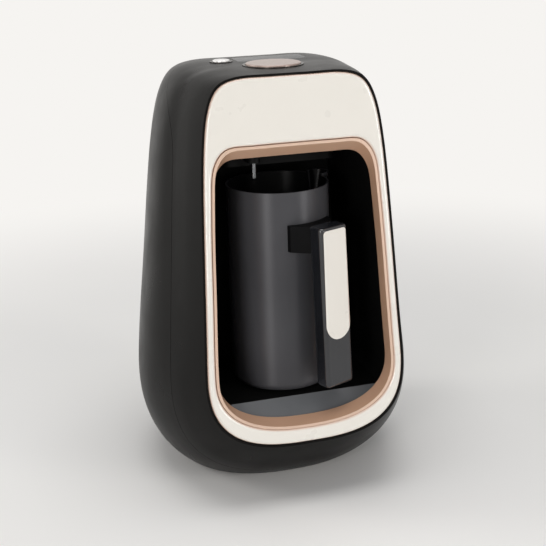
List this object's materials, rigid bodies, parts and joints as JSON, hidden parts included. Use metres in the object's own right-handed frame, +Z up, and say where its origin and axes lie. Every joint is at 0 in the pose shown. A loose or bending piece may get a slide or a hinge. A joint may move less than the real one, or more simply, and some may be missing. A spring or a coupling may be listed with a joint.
{
  "type": "electric turkish coffee maker",
  "caption": "Egg-shaped electric Turkish coffee maker with a leaning oval front frame, a deep cavity and a lift-out metal pot with a long flat handle.",
  "frame": {"origin": "centre of the bounding box's underside, on the surface that the feet stand on", "axes": "+Z up, the front with the opening faces -Y, +X to the right of a person who faces +Y"},
  "size_m": [0.1731, 0.1832, 0.2608],
  "materials": {
    "housing_black": "polished black injection moulding",
    "frame_cream": "high gloss cream injection moulding",
    "bezel_copper": "copper toned plating",
    "cavity_black": "fine matt black moulding",
    "sill_grey": "fine matt grey moulding",
    "pot_steel": "satin stainless steel, brushed round the pot",
    "grip_black": "polished black phenolic moulding",
    "inlay_cream": "high gloss cream moulding",
    "button_rose": "pearl rose lacquer",
    "ring_dark": "dark plated ring",
    "strip_black": "clear topped black glass-like panel",
    "inner_plastic": "plain moulding",
    "dock_black": "heat resistant moulding",
    "white_resin": "heat resistant white resin",
    "contact_brass": "bright brass",
    "screw_steel": "zinc plated steel",
    "spring_steel": "drawn spring wire",
    "heater_aluminium": "cast aluminium",
    "element_steel": "drawn steel sheath",
    "probe_steel": "polished stainless steel",
    "seal_rubber": "silicone rubber",
    "foot_rubber": "moulded rubber",
    "board_green": "printed circuit board"
  },
  "bodies": {
    "housing": {"front_shell": "housing_black", "rear_shell": "housing_black", "front_frame": "frame_cream", "opening_bezel": "bezel_copper", "cavity_liner": "cavity_black", "pot_platform": "cavity_black", "front_sill": "sill_grey", "control_strip": "strip_black", "main_button_ring": "ring_dark", "main_button_spring": "spring_steel", "small_button_ring": "ring_dark", "small_button_spring": "spring_steel", "button_carrier": "inner_plastic", "control_board": "board_green", "tact_switches": "dock_black", "buzzer": "dock_black", "carrier_screws": "screw_steel", "control_board_screws": "screw_steel", "sensor_head": "cavity_black", "foam_probe": "probe_steel", "probe_seal": "seal_rubber", "base_connector": "dock_black", "connector_pins": "contact_brass", "base_plate": "inner_plastic", "base_screws": "screw_steel", "rubber_feet": "foot_rubber", "power_board": "board_green", "power_board_screws": "screw_steel", "cord_gland": "dock_black"},
    "main_button": {"main_button": "button_rose"},
    "small_button": {"small_button": "button_rose"},
    "pot": {"pot_wall": "pot_steel", "heating_plate": "heater_aluminium", "heating_element": "element_steel", "pot_thermostat": "heater_aluminium", "pot_socket": "white_resin", "socket_contacts": "contact_brass", "pot_foot_cover": "dock_black", "foot_cover_screws": "screw_steel", "handle_grip": "grip_black", "handle_inlay": "inlay_cream", "handle_bracket": "grip_black", "handle_screws": "screw_steel"}
  },
  "joints": [
    {"name": "main_button_press", "type": "slide", "parent": "housing", "child": "main_button", "axis": [0, 0, -1], "range_m": [0, 0.0012], "stiffness_N_per_m": 600, "springref_m": -0.0015, "deforming": ["main_button_spring"]},
    {"name": "small_button_press", "type": "slide", "parent": "housing", "child": "small_button", "axis": [0, 0, -1], "range_m": [0, 0.0012], "stiffness_N_per_m": 500, "springref_m": -0.0012, "deforming": ["small_button_spring"]},
    {"name": "pot_draw", "type": "slide", "parent": "housing", "child": "pot", "axis": [0, -1, 0], "range_m": [0, 0.12]}
  ]
}
